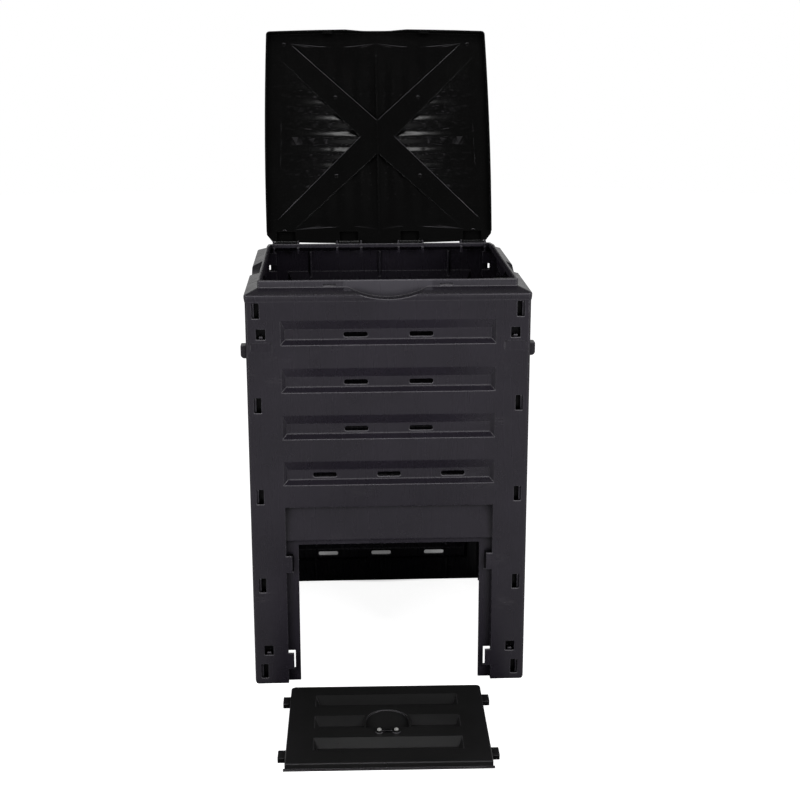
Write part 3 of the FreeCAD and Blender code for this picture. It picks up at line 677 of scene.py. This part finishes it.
@dataclass
class Studio:
    """White floor and surroundings with soft lamps.

    To the camera all is white. Reflections see a darker floor, with a black pool before and under
    the bin, and a ground, horizon and sky that differ in front and behind.
    """

    floor_radius: float = 9.0
    floor_sides: int = 96
    floor_paint: Shade = field(default_factory=lambda: Shade(236, 236, 236))
    mirrored_paint: Shade = field(default_factory=lambda: Shade(70, 70, 72))
    floor_glow: float = 0.9
    room_light: float = 0.2
    pool_wide: Limits = (0.235, 0.275)
    pool_long: Limits = (1.1, 1.3)
    # Middle, size and soft edge of the painted shadow on the floor behind the bin.
    painted_shadow_middle: Triple = (0.0, 0.52, 0.0)
    painted_shadow_size: Triple = (0.3, 0.18, 1.0)
    painted_shadow_edge: Limits = (0.75, 1.0)
    ground: Band = field(default_factory=lambda: Band(0.34, 0.7))
    horizon: Band = field(default_factory=lambda: Band(0.4, 0.5))
    sky: Band = field(default_factory=lambda: Band(0.03, 0.13))
    sky_start: Band = field(default_factory=lambda: Band(0.12, 0.28))
    sky_end: Band = field(default_factory=lambda: Band(0.34, 0.55))
    left_share: float = 0.85
    right_share: float = 1.5
    side_share: float = 0.25
    behind: Limits = (-0.3, 0.3)
    left_to_right: Limits = (-0.1, 0.3)
    flank: Limits = (0.75, 0.95)
    ground_edge: Limits = (-0.02, 0.06)
    boxes: tuple[SoftBox, ...] = (
        SoftBox("Right softbox", (2.2, -2.6, 1.6), (0.0, 0.0, 0.5), 1.2, 1.0, 64.0, False),
        SoftBox("Left softbox", (-2.2, -2.6, 1.5), (0.0, 0.0, 0.4), 1.2, 1.0, 50.0, False),
        SoftBox("Right strip", (2.6, -2.2, 0.8), (0.0, 0.0, 0.6), 0.3, 1.2, 10.0),
        SoftBox("Left strip", (-2.6, -2.2, 0.8), (0.0, 0.0, 0.6), 0.3, 1.2, 8.0),
        SoftBox("Overhead softbox", (0.0, 0.3, 3.0), (0.0, 0.3, 0.0), 0.7, 0.3, 3.2),
    )

    @staticmethod
    def seen(wiring: Wiring, *rays: Ray) -> Socket:
        """Tell kinds of rays apart.

        Args:
            wiring: The wiring of the floor or of the room.
            rays: The kinds of rays.

        Returns:
            A mask of those rays.
        """
        path = wiring.node("ShaderNodeLightPath")
        total = path.outputs[rays[0].value]
        for ray in rays[1:]:
            total = wiring.maths("MAXIMUM", total, path.outputs[ray.value])
        return total

    @staticmethod
    def front_to_back(wiring: Wiring, behind: Socket, band: Band) -> Socket:
        """Return a value that goes from the band's front value to its back value."""
        return wiring.span(behind, 0.0, 1.0, band.front, band.back)

    def lay_floor(self) -> None:
        """Add the round floor."""
        mesh = bpy.data.meshes.new("floor")
        shape = bmesh.new()
        bmesh.ops.create_circle(shape, cap_ends=True, segments=self.floor_sides, radius=self.floor_radius)
        shape.to_mesh(mesh)
        shape.free()
        floor = bpy.data.objects.new("floor", mesh)
        bpy.context.scene.collection.objects.link(floor)
        mesh.materials.append(self.floor_material())

    def floor_material(self) -> bpy.types.Material:
        """Make the floor's finish.

        Returns:
            A material that is white to the camera but for a painted soft shadow behind the bin.
        """
        material = bpy.data.materials.new("White floor")
        material.use_nodes = True
        wiring = Wiring(material.node_tree)
        shader = material.node_tree.nodes["Principled BSDF"]
        place = object_place(wiring)
        mirrored = self.seen(wiring, Ray.GLOSSY)
        paint = wiring.mix(MixKind.COLOUR, mirrored, self.floor_paint.rgba(), self.mirrored_paint.rgba())
        wiring.feed(shader.inputs["Base Color"], paint)
        shader.inputs["Roughness"].default_value = 1.0
        shader.inputs["Specular IOR Level"].default_value = 0.0
        shader.inputs["Emission Color"].default_value = PURE_WHITE
        # Painted shadow: the camera glow fades out in an oval behind the bin.
        shade = wiring.node("ShaderNodeMapping", vector_type="TEXTURE")
        shade.inputs["Location"].default_value = self.painted_shadow_middle
        shade.inputs["Scale"].default_value = self.painted_shadow_size
        wiring.feed(shade.inputs["Vector"], place)
        around = wiring.node("ShaderNodeVectorMath", operation="LENGTH")
        wiring.feed(around.inputs[0], shade.outputs[0])
        painted_light = wiring.span(around.outputs["Value"], *self.painted_shadow_edge, 0.0, self.floor_glow)
        white = wiring.product(self.seen(wiring, Ray.CAMERA), painted_light)
        parts = wiring.axes(place)
        beside = wiring.span(wiring.maths("ABSOLUTE", parts["X"]), *self.pool_wide)
        before = wiring.span(wiring.maths("ABSOLUTE", parts["Y"]), *self.pool_long)
        outside = wiring.product(wiring.maths("MAXIMUM", beside, before), self.ground.front)
        glow = wiring.maths("ADD", white, wiring.product(mirrored, outside))
        wiring.feed(shader.inputs["Emission Strength"], glow)
        return material

    def fill_room(self) -> None:
        """Make the surroundings white to the camera, even light for the object, and banded in reflections."""
        world = bpy.data.worlds.new("White studio")
        world.use_nodes = True
        bpy.context.scene.world = world
        wiring = Wiring(world.node_tree)
        way = wiring.axes(wiring.node("ShaderNodeTexCoord").outputs["Generated"])
        behind = wiring.span(way["Y"], *self.behind)
        side = wiring.span(way["X"], *self.left_to_right, self.left_share, self.right_share)
        side = wiring.span(behind, 0.0, 1.0, side, 1.0)
        flank = wiring.span(wiring.maths("ABSOLUTE", way["X"]), *self.flank, 1.0, self.side_share)
        ground, horizon, sky, low, high = (
            self.front_to_back(wiring, behind, band)
            for band in (self.ground, self.horizon, self.sky, self.sky_start, self.sky_end))
        below = wiring.span(way["Z"], *self.ground_edge, ground, horizon)
        mirrored = wiring.product(wiring.span(way["Z"], low, high, below, sky), wiring.product(side, flank))
        glossy = self.seen(wiring, Ray.GLOSSY, Ray.TRANSMISSION)
        level = wiring.mix(MixKind.NUMBER, glossy, self.room_light, mirrored)
        level = wiring.mix(MixKind.NUMBER, self.seen(wiring, Ray.CAMERA), level, 1.0)
        background = world.node_tree.nodes["Background"]
        background.inputs["Color"].default_value = PURE_WHITE
        wiring.feed(background.inputs["Strength"], level)

    def build(self) -> None:
        """Lay the floor, fill the room and hang the lamps."""
        self.lay_floor()
        self.fill_room()
        for box in self.boxes:
            box.hang()
            log.info("lamp: %s", box.name)


@dataclass(frozen=True)
class PhotoCamera:
    """Camera at the photograph's place, with angles in degrees."""

    place: Triple = (-0.1055, -3.0562, 1.3926)
    yaw: float = 2.585
    pitch: float = 15.018
    roll: float = -0.083
    focal_pixels: float = 1433.3
    frame_pixels: float = 800.0
    sensor: float = 36.0
    sight: float = 100.0

    def set_up(self) -> None:
        """Add the camera and make it the scene's own."""
        data = bpy.data.cameras.new("Photo camera")
        data.sensor_width = self.sensor
        data.lens = self.focal_pixels / self.frame_pixels * self.sensor
        data.clip_end = self.sight
        camera = bpy.data.objects.new("Photo camera", data)
        bpy.context.scene.collection.objects.link(camera)
        yaw, pitch = math.radians(self.yaw), math.radians(self.pitch)
        level = math.cos(pitch)
        forward = Vector((math.sin(yaw) * level, math.cos(yaw) * level, -math.sin(pitch)))
        turn = forward.to_track_quat("-Z", "Y").to_matrix().to_4x4()
        tilt = Matrix.Rotation(math.radians(self.roll), 4, "Z")
        camera.matrix_world = Matrix.Translation(self.place) @ turn @ tilt
        bpy.context.scene.camera = camera


def main() -> None:
    """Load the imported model, dress its pieces and set up the studio and the camera."""
    logging.basicConfig(level=logging.INFO, format="%(message)s")
    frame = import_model()
    bpy.context.scene.view_settings.view_transform = "Standard"
    effects = MouldingEffects()
    for assembly in (WALLS, LOCKS, LID, HATCH, PINS, LINK, RIVETS):
        assembly.dress(frame, effects)
    Studio().build()
    PhotoCamera().set_up()


if __name__ == "__main__":
    main()
